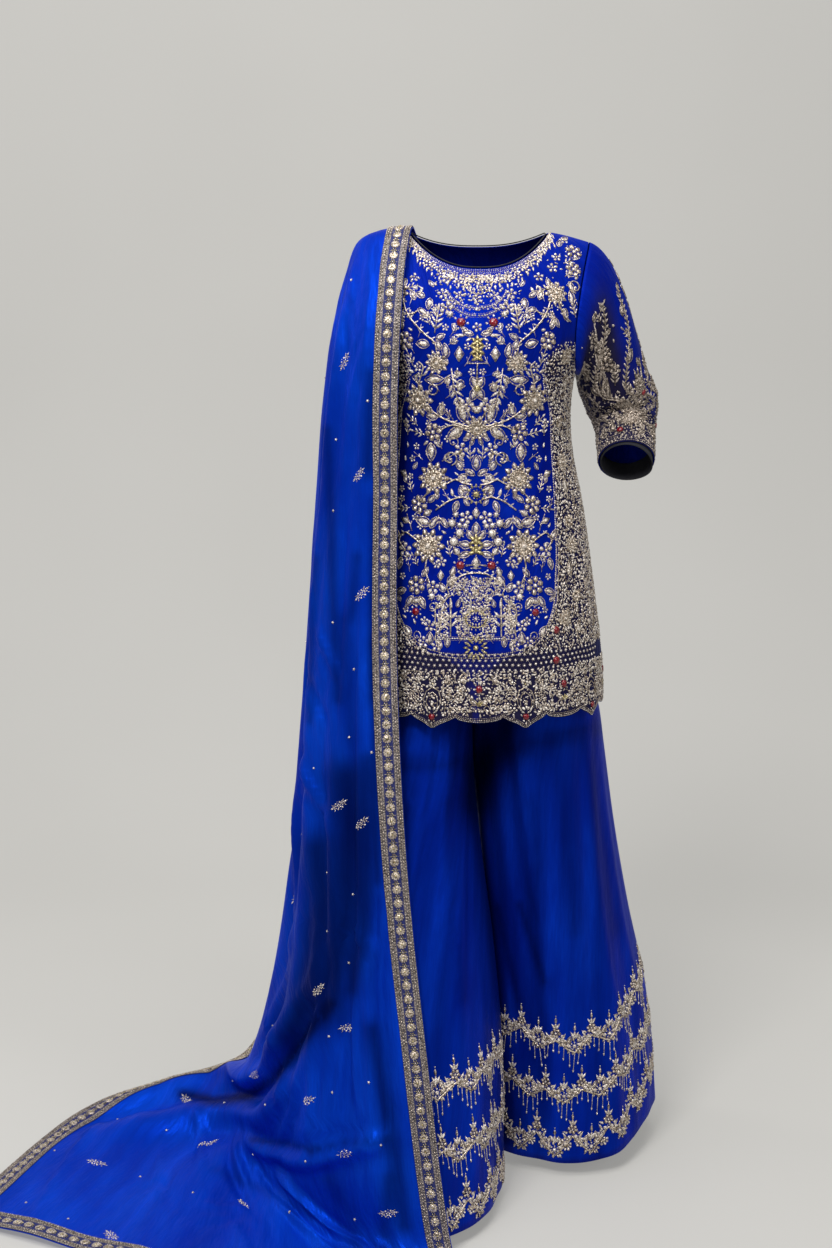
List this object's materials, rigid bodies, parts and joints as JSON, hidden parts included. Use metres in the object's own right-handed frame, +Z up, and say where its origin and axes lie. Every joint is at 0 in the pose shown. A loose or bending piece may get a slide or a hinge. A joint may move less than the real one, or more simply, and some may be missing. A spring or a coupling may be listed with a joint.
{
  "type": "sharara suit",
  "caption": "Worn three-piece suit in royal blue silk: embroidered kurti, flared sharara trousers and a long bordered dupatta falling from one shoulder into a train.",
  "frame": {"origin": "midway between the shoulders, 1.440 m above the floor that the train lies on, where the wearer carries the suit", "axes": "+Z up, front of the suit towards -Y, the wearer's left towards +X"},
  "size_m": [1.0967, 0.8362, 1.4627],
  "materials": {
    "royal_blue_silk": "satin silk, royal blue",
    "embroidered_silk": "royal blue silk under dense silver-gold thread, bead and stone work",
    "royal_blue_dupatta": "thin soft satin, royal blue",
    "silver_thread_band": "navy band covered with silver-gold thread and beads",
    "black_lining": "black lining cloth"
  },
  "bodies": {
    "root": {"kurti_front": "embroidered_silk", "kurti_back": "royal_blue_silk", "sleeve_left": "embroidered_silk", "sleeve_right": "embroidered_silk", "cuff_lining_left": "black_lining", "neck_binding": "black_lining", "sharara_waistband": "royal_blue_silk", "sharara_left_front": "royal_blue_silk", "sharara_left_back": "royal_blue_silk", "sharara_right_front": "royal_blue_silk", "sharara_right_back": "royal_blue_silk", "dupatta_front_fall": "royal_blue_dupatta", "dupatta_train": "royal_blue_dupatta", "dupatta_back_fall": "royal_blue_dupatta", "band_inner_edge": "silver_thread_band", "band_outer_edge": "silver_thread_band", "band_train_end": "silver_thread_band", "band_back_edge": "silver_thread_band", "band_back_end": "silver_thread_band"}
  },
  "joints": []
}
